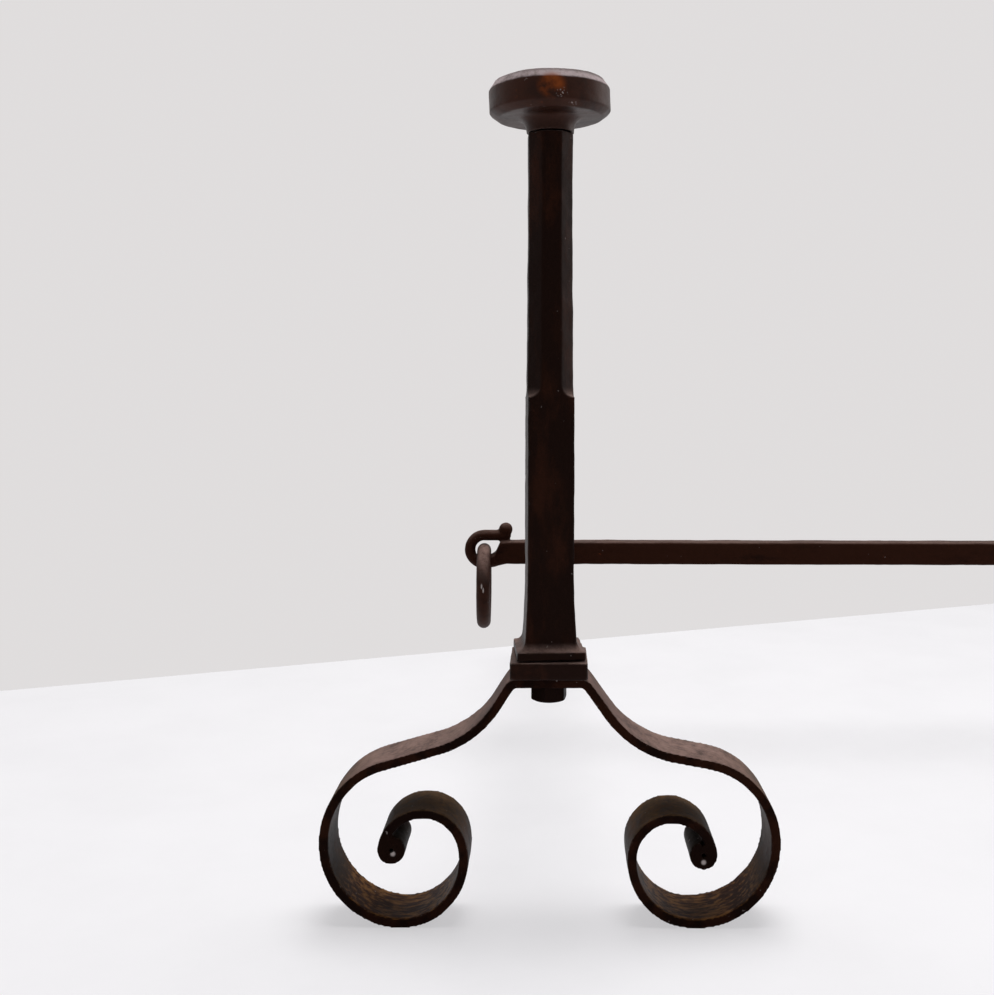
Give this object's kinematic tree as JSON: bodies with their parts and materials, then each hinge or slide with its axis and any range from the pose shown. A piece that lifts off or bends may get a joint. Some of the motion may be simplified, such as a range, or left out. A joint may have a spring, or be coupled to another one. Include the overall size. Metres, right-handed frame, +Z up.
{
  "type": "andiron",
  "caption": "Forged andiron with a square chamfered post, round disc finial, scrolled strip legs, a log bar with rear leg and a loose crossbar with curled ringed ends.",
  "frame": {"origin": "centre of the rear foot's sole on the hearth", "axes": "+X to the right seen from the front, +Y to the back of the hearth along the log bar, +Z up"},
  "size_m": [0.7566, 0.7983, 0.5983],
  "materials": {
    "post_iron": "satin",
    "finial_iron": "satin",
    "bar_iron": "matte",
    "scroll_iron": "satin",
    "nut_iron": "matte",
    "ring_iron": "satin"
  },
  "bodies": {
    "stand": {"post": "post_iron", "finial_disc": "finial_iron", "log_bar": "bar_iron", "scroll_legs": "scroll_iron", "nut": "nut_iron"},
    "crossbar": {"cross_bar": "bar_iron"},
    "left_ring": {"ring_left": "ring_iron"},
    "right_ring": {"ring_right": "ring_iron"}
  },
  "joints": [
    {"name": "crossbar_lift", "type": "slide", "parent": "stand", "child": "crossbar", "axis": [0, 0, 1], "range_m": [0, 0.25]},
    {"name": "left_ring_swing", "type": "hinge", "parent": "crossbar", "child": "left_ring", "pos_m": [-0.0704, -0.341, 0.2044], "axis": [0, 1, 0], "range_deg": [-15, 160]},
    {"name": "right_ring_swing", "type": "hinge", "parent": "crossbar", "child": "right_ring", "pos_m": [0.5744, -0.341, 0.2044], "axis": [0, 1, 0], "range_deg": [-160, 15]}
  ]
}
